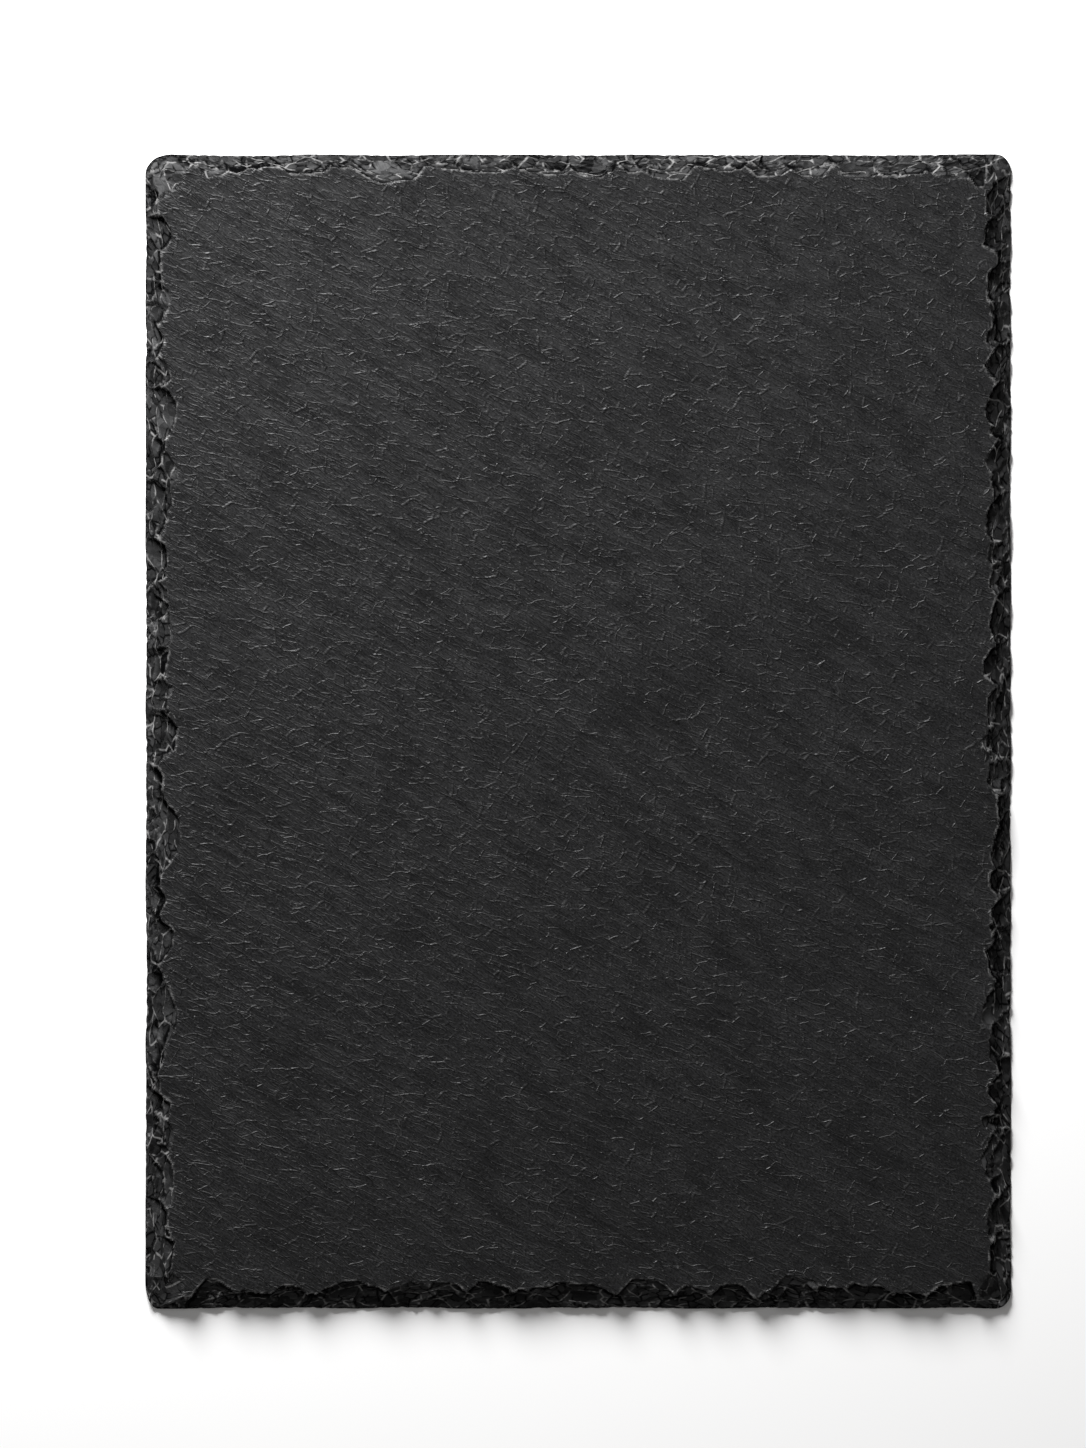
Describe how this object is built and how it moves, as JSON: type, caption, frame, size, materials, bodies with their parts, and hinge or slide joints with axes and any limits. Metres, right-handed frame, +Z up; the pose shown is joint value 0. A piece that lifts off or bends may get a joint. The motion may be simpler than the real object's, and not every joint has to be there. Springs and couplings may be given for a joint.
{
  "type": "slate slab",
  "caption": "Flat rectangular slab of dark riven slate with hand-flaked, chipped edges and rounded corners, lying on its flat underside.",
  "frame": {"origin": "middle of the flat underside, at the bottom centre of the slab's box", "axes": "+X across the width, +Y along the length towards the far end, +Z up through the thickness, out of the riven face"},
  "size_m": [0.3, 0.4, 0.007],
  "materials": {
    "slate": "riven dark grey slate, fine rippled grain, faint sheen on the face, lighter worn flake ridges"
  },
  "bodies": {
    "root": {"slate_slab": "slate"}
  },
  "joints": []
}
